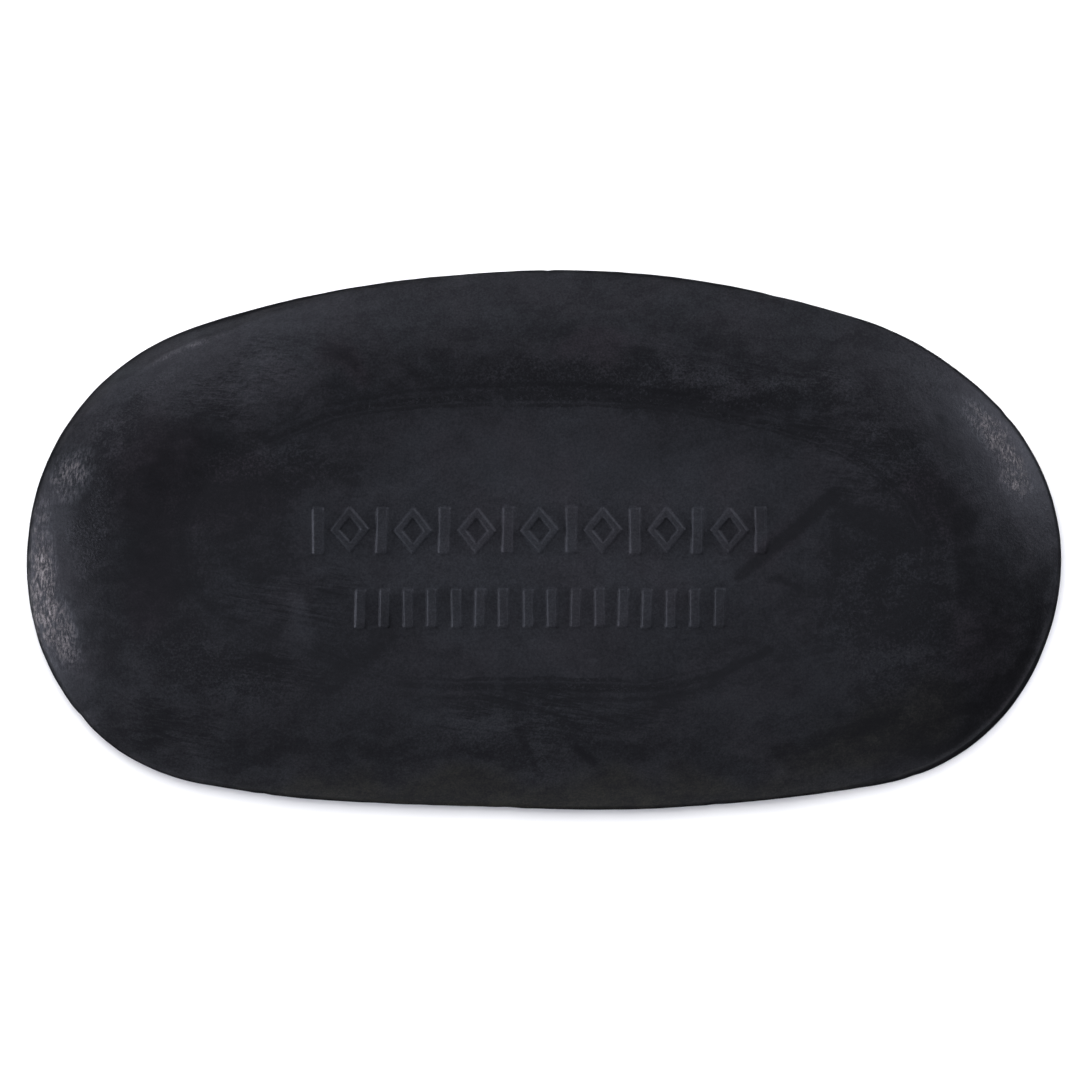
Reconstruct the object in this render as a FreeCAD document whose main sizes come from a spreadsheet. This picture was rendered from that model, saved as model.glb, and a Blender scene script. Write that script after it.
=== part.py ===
import FreeCAD, Part
import math
import os

import Sketcher
from FreeCAD import Placement, Rotation, Vector

# Oval rubber rib for shaping and smoothing clay: one compression-moulded piece of black rubber.
#
# Frame: origin under the middle of the oval, on the flat back; +X along the length, +Y across
# the width towards the more strongly arched side, +Z up through the thickness.
#
# From the back upwards the rib is a thin drafted rim, a flank that rises in a convex arc, and a
# flat land in the middle, which a fine witness groove runs round. Two rows of plain raised marks
# stand on the land.

NODE = "rubber_rib"
FLANK_STEPS = 5

# Driving dimensions: millimetres, and degrees for the slopes.
DIMENSIONS = [
    ("half_length", 53.5, "half of the overall length"),
    ("half_width", 28.0, "half of the overall width"),
    ("radius_right", 23.6, "outline: right end"),
    ("radius_upper_right", 36.0, "outline: shoulder from the right end to the top side"),
    ("radius_top", 110.0, "outline: top side"),
    ("radius_upper_left", 24.3, "outline: corner from the top side to the left end"),
    ("radius_left", 31.0, "outline: left end"),
    ("radius_lower_left", 21.4, "outline: corner from the left end to the bottom side"),
    ("radius_bottom", 240.0, "outline: bottom side"),
    ("end_drop", 2.35, "how far the centres of both ends lie below the middle"),
    ("rim_height", 2.2, "height of the rim wall above the back"),
    ("rim_draft", 0.45, "how far the rim wall leans in over its height"),
    ("rim_round", 0.5, "rounding between rim wall and flank"),
    ("back_round", 0.3, "rounding between rim wall and back"),
    ("rim_slope", 40.0, "slope of the flank where it meets the rim"),
    ("crease_slope", 9.0, "slope of the flank where it meets the land"),
    ("flank_radius", 26.2, "radius of the flank's convex arc"),
    ("land_shift_x", 1.5, "offset of the land from the middle, along X"),
    ("land_shift_y", -0.4, "offset of the land from the middle, along Y"),
    ("groove_width", 0.6, "width of the witness groove"),
    ("groove_depth", 0.2, "depth of the witness groove"),
    ("mark_relief", 0.35, "height of the raised marks above the land"),
    ("mark_sink", 0.5, "depth to which the marks start inside the rubber"),
    ("upper_row_y", 1.0, "middle of the upper row of marks"),
    ("upper_row_height", 4.8, "height of the upper row's marks"),
    ("upper_bar_width", 1.1, "width of the upper row's bars"),
    ("upper_pitch", 6.5, "spacing of the upper row's bars, and of its lozenges"),
    ("upper_start_x", -23.2, "middle of the upper row's first bar"),
    ("lozenge_width", 4.0, "width of a lozenge"),
    ("lozenge_line", 0.7, "thickness of a lozenge's outline"),
    ("lower_row_y", -7.0, "middle of the lower row of marks"),
    ("lower_row_height", 4.0, "height of the lower row's bars"),
    ("lower_bar_width", 1.0, "width of the lower row's bars"),
    ("lower_pitch", 2.46, "spacing of the lower row's bars"),
    ("lower_start_x", -18.9, "middle of the lower row's first bar"),
]
UPPER_BARS = 8
UPPER_LOZENGES = 7
LOWER_BARS = 16

# The outline is a closed chain of tangent arcs, listed anticlockwise from the right end.
ARCS = ("right", "upper_right", "top", "upper_left", "left", "lower_left", "bottom")

doc = FreeCAD.newDocument("rubber_rib")
sheet = doc.addObject("Spreadsheet::Sheet", "dims")
sheet.Label = "dimensions"
for row, (alias, value, note) in enumerate(DIMENSIONS, start=1):
    sheet.set(f"A{row}", alias)
    sheet.set(f"B{row}", str(value))
    sheet.set(f"C{row}", note)
    sheet.setAlias(f"B{row}", alias)
doc.recompute()
dim = {alias: sheet.get(alias) for alias, _, _ in DIMENSIONS}


def evaluate(formula):
    """The present value of a formula written in the sheet's aliases."""
    return float(sheet.evalExpression(formula))


def bridging_centre(start, end, radius):
    """Centre of the arc that leads tangentially, anticlockwise, from one arc to the next.

    start and end are (centre, radius) pairs, and every arc of the outline curves the same way,
    so the distance between two neighbours' centres is the difference of their radii.
    """
    (centre_a, radius_a), (centre_b, radius_b) = start, end
    reach_a = abs(radius_a - radius)
    reach_b = abs(radius_b - radius)
    across = centre_b - centre_a
    along = (reach_a**2 - reach_b**2 + across.Length**2) / (2 * across.Length)
    aside = math.sqrt(reach_a**2 - along**2)
    unit = across / across.Length
    sideways = Vector(-unit.y, unit.x, 0)
    candidates = [centre_a + unit * along + sideways * aside * side for side in (1, -1)]

    def turn(centre):
        leave = joint_angle(centre_a, radius_a, centre, radius)
        arrive = joint_angle(centre, radius, centre_b, radius_b)
        return (arrive - leave) % (2 * math.pi)

    return min(candidates, key=turn)


def joint_angle(centre_a, radius_a, centre_b, radius_b):
    """Direction, seen from both centres, of the point where two tangent arcs meet."""
    line = (centre_a - centre_b) * (1 if radius_b > radius_a else -1)
    return math.atan2(line.y, line.x)


def outline_arcs(inset, shift):
    """The outline's arcs as (centre, radius, first angle, last angle), drawn in by inset."""
    radius = {name: dim["radius_" + name] for name in ARCS}
    centre = {
        "right": Vector(dim["half_length"] - radius["right"], -dim["end_drop"], 0),
        "top": Vector(0, dim["half_width"] - radius["top"], 0),
        "left": Vector(radius["left"] - dim["half_length"], -dim["end_drop"], 0),
    }
    bottom_y = radius["bottom"] - dim["half_width"]
    reach = radius["bottom"] - radius["right"]
    rise = bottom_y - centre["right"].y
    centre["bottom"] = Vector(centre["right"].x - math.sqrt(reach**2 - rise**2), bottom_y, 0)
    for before, name, after in (
        ("right", "upper_right", "top"),
        ("top", "upper_left", "left"),
        ("left", "lower_left", "bottom"),
    ):
        start = (centre[before], radius[before])
        end = (centre[after], radius[after])
        centre[name] = bridging_centre(start, end, radius[name])
    arcs = []
    for before, name, after in zip(ARCS[-1:] + ARCS[:-1], ARCS, ARCS[1:] + ARCS[:1]):
        first = joint_angle(centre[before], radius[before], centre[name], radius[name])
        last = joint_angle(centre[name], radius[name], centre[after], radius[after])
        turn = (last - first) % (2 * math.pi)
        arcs.append((centre[name] + shift, radius[name] - inset, first, first + turn))
    return arcs


def new_sketch(body, name, height):
    """A sketch parallel to the body's own XY plane, at a height given as a formula."""
    plane = next(item for item in body.Origin.OriginFeatures if item.Role == "XY_Plane")
    sketch = body.newObject("Sketcher::SketchObject", name)
    sketch.AttachmentSupport = [(plane, "")]
    sketch.MapMode = "FlatFace"
    sketch.setExpression("AttachmentOffset.Base.z", height)
    return sketch


def dimension(sketch, kind, elements, formula):
    """A driving constraint whose value follows a formula in the sheet's aliases."""
    index = sketch.addConstraint(Sketcher.Constraint(kind, *elements, evaluate(formula)))
    sketch.setExpression(f"Constraints[{index}]", formula)


def draw_outline(sketch, inset, shift_x="0", shift_y="0"):
    """Add the outline, drawn in by inset and moved by the shift, to a sketch."""
    shift = Vector(evaluate(shift_x), evaluate(shift_y), 0)
    first = sketch.GeometryCount
    index = {name: first + place for place, name in enumerate(ARCS)}
    for centre, radius, start, end in outline_arcs(evaluate(inset), shift):
        circle = Part.Circle(centre, Vector(0, 0, 1), radius)
        sketch.addGeometry(Part.ArcOfCircle(circle, start, end), False)
    for name, after in zip(ARCS, ARCS[1:] + ARCS[:1]):
        sketch.addConstraint(Sketcher.Constraint("Tangent", index[name], 2, index[after], 1))
    for name in ARCS:
        dimension(sketch, "Radius", (index[name],), f"dims.radius_{name} - ({inset})")
    places = (
        ("DistanceX", "right", f"dims.half_length - dims.radius_right + {shift_x}"),
        ("DistanceY", "right", f"{shift_y} - dims.end_drop"),
        ("DistanceX", "top", shift_x),
        ("DistanceY", "top", f"dims.half_width - dims.radius_top + {shift_y}"),
        ("DistanceX", "left", f"dims.radius_left - dims.half_length + {shift_x}"),
        ("DistanceY", "left", f"{shift_y} - dims.end_drop"),
        ("DistanceY", "bottom", f"dims.radius_bottom - dims.half_width + {shift_y}"),
    )
    for kind, name, formula in places:
        dimension(sketch, kind, (-1, 1, index[name], 3), formula)


def draw_polygon(sketch, corners):
    """Add a closed polygon whose corners are (x, y) pairs of formulas."""
    points = [Vector(evaluate(x), evaluate(y), 0) for x, y in corners]
    first = sketch.GeometryCount
    count = len(points)
    for place in range(count):
        line = Part.LineSegment(points[place], points[(place + 1) % count])
        sketch.addGeometry(line, False)
    for place in range(count):
        following = first + (place + 1) % count
        sketch.addConstraint(Sketcher.Constraint("Coincident", first + place, 2, following, 1))
    for place, (x, y) in enumerate(corners):
        dimension(sketch, "DistanceX", (-1, 1, first + place, 1), x)
        dimension(sketch, "DistanceY", (-1, 1, first + place, 1), y)


def draw_lozenge(sketch, x, y, half_width, half_height):
    """Add a lozenge about the point (x, y)."""
    corners = (
        (f"{x} + ({half_width})", y),
        (x, f"{y} + ({half_height})"),
        (f"{x} - ({half_width})", y),
        (x, f"{y} - ({half_height})"),
    )
    draw_polygon(sketch, corners)


def draw_bar(sketch, x, y, width, height):
    """Add an upright bar about the point (x, y)."""
    left, right = f"{x} - {width} / 2", f"{x} + {width} / 2"
    low, high = f"{y} - {height} / 2", f"{y} + {height} / 2"
    draw_polygon(sketch, ((left, low), (right, low), (right, high), (left, high)))


def loft(body, name, sections):
    """An additive loft through a list of sketches, lowest first."""
    feature = body.newObject("PartDesign::AdditiveLoft", name)
    feature.Profile = sections[0]
    feature.Sections = sections[1:]
    feature.Ruled = len(sections) == 2
    for sketch in sections:
        sketch.Visibility = False
    doc.recompute()
    return feature


def round_edges(body, name, height, radius):
    """Fillet every edge of the body that lies at the given height."""
    base = body.Tip
    level = evaluate(height)
    tolerance = 1e-4
    edges = []
    for number, edge in enumerate(base.Shape.Edges, start=1):
        box = edge.BoundBox
        if abs(box.ZMin - level) < tolerance and abs(box.ZMax - level) < tolerance:
            edges.append(f"Edge{number}")
    feature = body.newObject("PartDesign::Fillet", name)
    feature.Base = (base, edges)
    feature.setExpression("Radius", radius)
    doc.recompute()
    return feature


def raised_row(body, name, count, pitch, draw):
    """A row of equal raised marks; draw puts the first one into the sketch it is given."""
    sketch = new_sketch(body, name + "_sketch", f"{LAND_HEIGHT} - dims.mark_sink")
    draw(sketch)
    pad = body.newObject("PartDesign::Pad", name)
    pad.Profile = sketch
    pad.setExpression("Length", "dims.mark_sink + dims.mark_relief")
    sketch.Visibility = False
    doc.recompute()
    row = body.newObject("PartDesign::LinearPattern", name + "_row")
    row.Originals = [pad]
    row.Direction = (sketch, ["H_Axis"])
    row.Mode = "Spacing"
    row.setExpression("Offset", pitch)
    row.Occurrences = count
    body.Tip = row
    doc.recompute()
    return row


def flank_slope(step):
    """Slope of the flank at one of its sections, as a formula in degrees."""
    share = step / FLANK_STEPS
    return f"(dims.rim_slope + {share} * (dims.crease_slope - dims.rim_slope)) * 1 deg"


def flank_inset(step):
    """How far a section of the flank lies inside the outline."""
    run = f"sin(dims.rim_slope * 1 deg) - sin({flank_slope(step)})"
    return f"dims.rim_draft + dims.flank_radius * ({run})"


def flank_height(step):
    """Height of a section of the flank above the back."""
    climb = f"cos({flank_slope(step)}) - cos(dims.rim_slope * 1 deg)"
    return f"dims.rim_height + dims.flank_radius * ({climb})"


LAND_INSET = flank_inset(FLANK_STEPS)
LAND_HEIGHT = flank_height(FLANK_STEPS)

body = doc.addObject("PartDesign::Body", "Rib")
body.Label = NODE

# Rim: a wall that leans in from the back to the start of the flank.
back_outline = new_sketch(body, "back_outline", "0")
draw_outline(back_outline, "0")
rim_outline = new_sketch(body, "rim_outline", "dims.rim_height")
draw_outline(rim_outline, "dims.rim_draft")
loft(body, "rim_wall", [back_outline, rim_outline])

# Flank: rises along a convex arc, and is wider at the left end because the land stands to the right.
flank_sections = []
for step in range(FLANK_STEPS + 1):
    section = new_sketch(body, f"flank_section_{step}", flank_height(step))
    share = step / FLANK_STEPS
    draw_outline(
        section,
        flank_inset(step),
        f"{share} * dims.land_shift_x",
        f"{share} * dims.land_shift_y",
    )
    flank_sections.append(section)
flank = loft(body, "flank", flank_sections)

round_edges(body, "rim_rounding", "dims.rim_height", "dims.rim_round")
round_edges(body, "back_rounding", "0", "dims.back_round")

# Witness groove: straddles the crease between flank and land.
groove_sketch = new_sketch(body, "groove_sketch", LAND_HEIGHT)
for side in (-0.5, 0.5):
    draw_outline(
        groove_sketch,
        f"{LAND_INSET} + {side} * dims.groove_width",
        "dims.land_shift_x",
        "dims.land_shift_y",
    )
volume_before_groove = body.Shape.Volume
groove = body.newObject("PartDesign::Pocket", "witness_groove")
groove.Profile = groove_sketch
groove.setExpression("Length", "dims.groove_depth")
groove_sketch.Visibility = False
doc.recompute()
if body.Shape.Volume >= volume_before_groove:
    raise RuntimeError("the witness groove cuts nothing")

# Upper row: plain bars with a lozenge outline between each two.
raised_row(
    body,
    "upper_bars",
    UPPER_BARS,
    "dims.upper_pitch",
    lambda sketch: draw_bar(
        sketch,
        "dims.upper_start_x",
        "dims.upper_row_y",
        "dims.upper_bar_width",
        "dims.upper_row_height",
    ),
)


def draw_lozenge_outline(sketch):
    """A lozenge and, inside it, the lozenge that leaves a line of even thickness."""
    x = "dims.upper_start_x + dims.upper_pitch / 2"
    y = "dims.upper_row_y"
    half_width = "dims.lozenge_width / 2"
    half_height = "dims.upper_row_height / 2"
    draw_lozenge(sketch, x, y, half_width, half_height)
    side = f"sqrt(({half_width}) * ({half_width}) + ({half_height}) * ({half_height}))"
    inner_width = f"{half_width} - dims.lozenge_line * {side} / ({half_height})"
    inner_height = f"{half_height} - dims.lozenge_line * {side} / ({half_width})"
    draw_lozenge(sketch, x, y, inner_width, inner_height)


raised_row(body, "lozenges", UPPER_LOZENGES, "dims.upper_pitch", draw_lozenge_outline)

# Lower row: plain bars.
raised_row(
    body,
    "lower_bars",
    LOWER_BARS,
    "dims.lower_pitch",
    lambda sketch: draw_bar(
        sketch,
        "dims.lower_start_x",
        "dims.lower_row_y",
        "dims.lower_bar_width",
        "dims.lower_row_height",
    ),
)

body.Placement = Placement(Vector(0, 0, 0), Rotation())
doc.recompute()

for item in doc.Objects:
    if "Invalid" in item.State or "Error" in item.State:
        raise RuntimeError(f"{item.Name} failed: {item.State}")
shape = body.Shape
if shape.isNull() or not shape.isValid() or len(shape.Solids) != 1:
    raise RuntimeError(f"{NODE} isn't one valid solid")

os.makedirs("parts", exist_ok=True)
shape.exportStep(f"parts/{body.Label}.step")
print(f"{body.Label}: {shape.Volume / 1000:.2f} cm3, {len(shape.Faces)} faces")
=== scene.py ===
import cmath
import math
import random

import bpy
import numpy as np
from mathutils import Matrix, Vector, noise
from mathutils.geometry import delaunay_2d_cdt


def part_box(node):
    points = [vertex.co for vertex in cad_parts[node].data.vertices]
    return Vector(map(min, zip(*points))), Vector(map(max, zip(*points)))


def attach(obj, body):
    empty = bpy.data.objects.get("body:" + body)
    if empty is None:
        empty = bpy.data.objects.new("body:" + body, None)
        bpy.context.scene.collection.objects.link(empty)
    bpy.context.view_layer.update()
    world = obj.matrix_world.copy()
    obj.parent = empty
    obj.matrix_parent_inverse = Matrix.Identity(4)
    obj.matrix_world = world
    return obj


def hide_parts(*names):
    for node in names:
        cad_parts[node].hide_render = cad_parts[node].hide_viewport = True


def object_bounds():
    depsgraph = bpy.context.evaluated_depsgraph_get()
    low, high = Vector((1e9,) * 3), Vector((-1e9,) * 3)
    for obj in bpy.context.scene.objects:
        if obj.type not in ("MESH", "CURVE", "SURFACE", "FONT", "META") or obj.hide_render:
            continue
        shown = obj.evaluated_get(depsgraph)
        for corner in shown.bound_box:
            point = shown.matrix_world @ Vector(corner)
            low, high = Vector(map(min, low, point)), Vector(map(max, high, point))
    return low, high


# An oval rubber rib: one moulded piece of black rubber, lying flat on its back.
# Lengths in this script are millimetres, turned into Blender's metres where objects are made.

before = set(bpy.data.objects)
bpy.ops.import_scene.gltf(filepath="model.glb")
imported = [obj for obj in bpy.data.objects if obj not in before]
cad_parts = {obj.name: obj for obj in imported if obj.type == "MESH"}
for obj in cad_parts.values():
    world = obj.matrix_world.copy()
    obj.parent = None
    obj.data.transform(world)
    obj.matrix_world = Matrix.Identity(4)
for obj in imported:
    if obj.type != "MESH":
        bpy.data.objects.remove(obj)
cad_low, cad_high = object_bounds()

NODE = "rubber_rib"
BODY = "root"
MM = 0.001


# ---------------------------------------------------------------- outline

# A closed chain of tangent arcs, anticlockwise from the right end, as in the CAD model.
HALF_LENGTH = 53.5
HALF_WIDTH = 28.0
END_DROP = 2.35
RADIUS = {
    "right": 23.6,
    "upper_right": 36.0,
    "top": 110.0,
    "upper_left": 24.3,
    "left": 31.0,
    "lower_left": 21.4,
    "bottom": 240.0,
}
ARCS = tuple(RADIUS)
STATION_STEP = 0.36
SMOOTHING = 12


def joint_angle(centre_a, radius_a, centre_b, radius_b):
    """Direction, seen from both centres, of the point where two tangent arcs meet."""
    return cmath.phase((centre_a - centre_b) * (1 if radius_b > radius_a else -1))


def bridging_centre(centre_a, radius_a, centre_b, radius_b, radius):
    """Centre of the arc that leads tangentially, anticlockwise, from arc a to arc b."""
    reach_a = abs(radius_a - radius)
    reach_b = abs(radius_b - radius)
    across = centre_b - centre_a
    along = (reach_a**2 - reach_b**2 + abs(across) ** 2) / (2 * abs(across))
    aside = math.sqrt(reach_a**2 - along**2)

    def turn(centre):
        leave = joint_angle(centre_a, radius_a, centre, radius)
        arrive = joint_angle(centre, radius, centre_b, radius_b)
        return (arrive - leave) % math.tau

    unit = across / abs(across)
    return min((centre_a + unit * complex(along, side * aside) for side in (1, -1)), key=turn)


def outline_centres():
    """The centre of each of the outline's arcs, as complex numbers."""
    centre = {
        "right": complex(HALF_LENGTH - RADIUS["right"], -END_DROP),
        "top": complex(0, HALF_WIDTH - RADIUS["top"]),
        "left": complex(RADIUS["left"] - HALF_LENGTH, -END_DROP),
    }
    bottom_y = RADIUS["bottom"] - HALF_WIDTH
    reach = RADIUS["bottom"] - RADIUS["right"]
    rise = bottom_y + END_DROP
    centre["bottom"] = complex(centre["right"].real - math.sqrt(reach**2 - rise**2), bottom_y)
    for before, name, after in (
        ("right", "upper_right", "top"),
        ("top", "upper_left", "left"),
        ("left", "lower_left", "bottom"),
    ):
        centre[name] = bridging_centre(
            centre[before], RADIUS[before], centre[after], RADIUS[after], RADIUS[name]
        )
    return centre


def outline_stations():
    """Evenly spaced stations round the outline: arc centre, arc radius and outward direction."""
    centre = outline_centres()
    centres, radii, directions = [], [], []
    for before, name, after in zip(ARCS[-1:] + ARCS[:-1], ARCS, ARCS[1:] + ARCS[:1]):
        first = joint_angle(centre[before], RADIUS[before], centre[name], RADIUS[name])
        last = joint_angle(centre[name], RADIUS[name], centre[after], RADIUS[after])
        turn = (last - first) % math.tau
        count = round(RADIUS[name] * turn / STATION_STEP)
        for place in range(count):
            centres.append(centre[name])
            radii.append(RADIUS[name])
            directions.append(cmath.exp(1j * (first + turn * place / count)))
    return np.array(centres), np.array(radii), np.array(directions)


CENTRE, ARC_RADIUS, OUTWARD = outline_stations()
STATIONS = len(CENTRE)
BEARING = np.degrees(np.angle(CENTRE + ARC_RADIUS * OUTWARD)) % 360


def around(values):
    """A smooth value at every station, from (bearing in degrees, value) pairs round the oval."""
    bearings, levels = zip(*values)
    level = np.interp(BEARING, bearings, levels, period=360)
    kernel = np.hanning(2 * SMOOTHING + 1)
    wrapped = np.concatenate([level[-SMOOTHING:], level, level[:SMOOTHING]])
    return np.convolve(wrapped, kernel / kernel.sum(), "valid")


# ---------------------------------------------------------------- section

BACK_ROUND = 0.3
LAND_HEIGHT = 8.0
RIM_SLOPE = math.radians(40)
CREASE_SLOPE = math.radians(9)
# The edge was trimmed by hand, so it strays from the arcs, leans in more in places and isn't
# equally high all round. Each is a list of (bearing, millimetres).
TRIM = (
    (0, 0.15), (20, 0.0), (29, 0.04), (38, -0.12), (60, 0.1), (84, 0.02), (108, -0.16), (132, 0.01),
    (148, 0.19), (156, 0.04), (168, -0.02), (184, 0.12), (197, -0.1), (206, 0.0), (214, -0.1),
    (224, 0.16), (240, -0.15), (256, -0.31), (291, 0.12), (306, 0.04), (316, 0.02), (323, -0.15),
    (330, 0.16), (337, 0.26), (350, 0.0),
)
DRAFT = (
    (0, 0.14), (60, 0.12), (130, 0.2), (140, 0.8), (152, 1.6), (163, 0.9), (175, 0.4), (200, 0.2),
    (260, 0.1), (312, 0.15), (326, 0.6), (345, 0.6), (354, 0.2),
)
RIM_HEIGHT = (
    (0, 2.2), (50, 2.35), (95, 2.1), (150, 2.6), (180, 2.0), (230, 2.3), (290, 2.15), (335, 2.3),
)
ARRIS_REACH = ((0, 0.5), (90, 0.5), (150, 0.75), (185, 0.7), (300, 0.5), (328, 0.25), (350, 0.25))
# How far the crease between flank and land lies inside the outline.
CREASE_INSET = (
    (5, 13.9), (15, 13.6), (33, 13.5), (60, 13.0), (94, 13.3), (118, 12.8), (135, 12.5), (148, 13.9),
    (158, 15.3), (178, 16.1), (200, 17.8), (218, 17.3), (228, 14.5), (240, 12.6), (275, 12.9),
    (294, 12.4), (308, 14.0), (325, 15.0), (345, 14.3),
)
CREASE_DEPTH = (
    (5, 0.03), (25, 0.05), (45, 0.05), (95, 0.05), (135, 0.045), (150, 0.03), (165, 0.01), (225, 0.012),
    (245, 0.035), (290, 0.05), (308, 0.04), (325, 0.01), (350, 0.01),
)
CREASE_WIDTH = 0.2
BACK_STEPS = 4
WALL_STEPS = 5
ARRIS_STEPS = 6
FLANK_STEPS = 38
CREASE_OFFSETS = (-0.45, -0.25, -0.14, -0.07, 0.0, 0.07, 0.14, 0.25, 0.45)
GAP_SIZE = 6

trim = around(TRIM)
draft = around(DRAFT)
rim_height = around(RIM_HEIGHT)
arris_reach = around(ARRIS_REACH)
crease_inset = around(CREASE_INSET)
crease_depth = around(CREASE_DEPTH)


def smooth(value, start, end):
    """0 at start, 1 at end, with a soft beginning and finish."""
    share = np.clip((np.asarray(value, float) - start) / (end - start), 0, 1)
    return share * share * (3 - 2 * share)


def flank_height(inset):
    """Height of the convex flank at an inset from the outline, at every station."""
    share = np.clip((inset - draft) / (crease_inset - draft), 0, 1)
    sine = math.sin(RIM_SLOPE) + share * (math.sin(CREASE_SLOPE) - math.sin(RIM_SLOPE))
    cosine = np.sqrt(1 - sine**2)
    climb = (cosine - math.cos(RIM_SLOPE)) / (math.cos(CREASE_SLOPE) - math.cos(RIM_SLOPE))
    return rim_height + (LAND_HEIGHT - rim_height) * climb


def crease_cuts():
    """Depth of the groove on the crease at every station, faded out here and there."""
    edge = CENTRE + ARC_RADIUS * OUTWARD
    gaps = [smooth(uneven(point, GAP_SIZE, seed=11.2), -0.3, 0.2) for point in edge]
    return crease_depth * np.array(gaps)


def section_rings():
    """(inset, height) arrays of every ring of the surface, from the back up to the land."""
    rings = []
    for step in range(BACK_STEPS):
        turn = math.radians(90) * step / BACK_STEPS
        inset = np.full(STATIONS, BACK_ROUND * (1 - math.sin(turn)))
        rings.append((inset, np.full(STATIONS, BACK_ROUND * (1 - math.cos(turn)))))
    wall_share = 1 - arris_reach / (rim_height - BACK_ROUND)
    wall_top = draft * wall_share, BACK_ROUND + (rim_height - BACK_ROUND) * wall_share
    for step in range(WALL_STEPS):
        share = step / WALL_STEPS
        rings.append((wall_top[0] * share, BACK_ROUND + (wall_top[1] - BACK_ROUND) * share))
    flank_start = draft + arris_reach * math.cos(RIM_SLOPE)
    flank_foot = flank_start, flank_height(flank_start)
    for step in range(ARRIS_STEPS):
        share = step / ARRIS_STEPS
        weights = (1 - share) ** 2, 2 * share * (1 - share), share**2
        inset = weights[0] * wall_top[0] + weights[1] * draft + weights[2] * flank_foot[0]
        height = weights[0] * wall_top[1] + weights[1] * rim_height + weights[2] * flank_foot[1]
        rings.append((inset, height))
    flank_end = crease_inset + 2 * CREASE_OFFSETS[0]
    for step in range(FLANK_STEPS + 1):
        inset = flank_start + (flank_end - flank_start) * step / FLANK_STEPS
        rings.append((inset, flank_height(inset)))
    crease_cut = crease_cuts()
    for offset in CREASE_OFFSETS:
        inset = crease_inset + offset
        cut = crease_cut * math.exp(-((offset / CREASE_WIDTH) ** 2))
        rings.append((inset, flank_height(inset) - cut))
    return rings


# ---------------------------------------------------------------- raised marks

MARK_RELIEF = 0.35
MARK_FOOT = 0.13
MARK_SHOULDER = -0.13
UPPER_ROW = {"y": 1.0, "height": 4.8, "start": -23.2, "pitch": 6.5, "bars": 8, "width": 1.1}
LOWER_ROW = {"y": -7.0, "height": 4.0, "start": -18.9, "pitch": 2.46, "bars": 16, "width": 1.0}
LOZENGES = 7
LOZENGE_WIDTH = 4.0
LOZENGE_LINE = 0.7
BAR_CORNER = 0.2
LOZENGE_CORNER = 0.12
CORNER_STEPS = 4
SIDE_STEP = 0.45
LOOP_OFFSETS = (0.14, 0.05, -0.04, -0.14, -0.26)
SHARPEST = 0.02
# How crooked the punched marks are: millimetres, degrees and shares of the relief.
SHIFT_X = 0.07
SHIFT_Y = 0.09
TURN = 1.6
RELIEF_SHARES = (0.75, 1.1)

chance = random.Random(7)


def inner_polygon(corners, inset):
    """The corners of a convex polygon whose sides lie inset inside those of another."""
    lines = []
    for start, end in zip(corners, corners[1:] + corners[:1]):
        way = (end - start) / abs(end - start)
        lines.append((start + way * 1j * inset, way))
    result = []
    for (point_a, way_a), (point_b, way_b) in zip(lines[-1:] + lines[:-1], lines):
        along = ((point_b - point_a) * way_b.conjugate()).imag / (way_a * way_b.conjugate()).imag
        result.append(point_a + way_a * along)
    return result


def rounded_loop(core, radius):
    """Points of the loop that lies radius outside a convex polygon, with rounded corners."""
    count = len(core)
    points = []
    for place in range(count):
        before, corner, after = core[place - 1], core[place], core[(place + 1) % count]
        first = cmath.phase((corner - before) * -1j)
        turn = (cmath.phase((after - corner) * -1j) - first) % math.tau
        for step in range(CORNER_STEPS + 1):
            points.append(corner + radius * cmath.exp(1j * (first + turn * step / CORNER_STEPS)))
        side = after - corner
        pieces = max(1, round(abs(side) / SIDE_STEP))
        outward = -1j * side / abs(side) * radius
        points += [corner + outward + side * step / pieces for step in range(1, pieces)]
    return points


def distance_outside(core, radius, points):
    """Signed distance of points from a rounded convex polygon, positive outside it."""
    nearest = np.full(len(points), np.inf)
    inside = np.ones(len(points), bool)
    for place, corner in enumerate(core):
        side = core[(place + 1) % len(core)] - corner
        away = points - corner
        share = np.clip((away * np.conj(side)).real / abs(side) ** 2, 0, 1)
        nearest = np.minimum(nearest, abs(away - share * side))
        inside &= (np.conj(side) * away).imag > 0
    return np.where(inside, -nearest, nearest) - radius


def loose(point, width, height):
    """Four corners of a mark, a little crooked and out of place, as punched by hand."""
    shift = complex(chance.uniform(-SHIFT_X, SHIFT_X), chance.uniform(-SHIFT_Y, SHIFT_Y))
    turn = cmath.exp(1j * math.radians(chance.uniform(-TURN, TURN)))
    return lambda shape: [point + shift + turn * corner for corner in shape(width / 2, height / 2)]


def box_corners(half_width, half_height):
    """Corners of an upright box, anticlockwise."""
    return [
        complex(half_width, -half_height),
        complex(half_width, half_height),
        complex(-half_width, half_height),
        complex(-half_width, -half_height),
    ]


def lozenge_corners(half_width, half_height):
    """Corners of an upright lozenge, anticlockwise."""
    return [half_width, 1j * half_height, -half_width, -1j * half_height]


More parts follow.
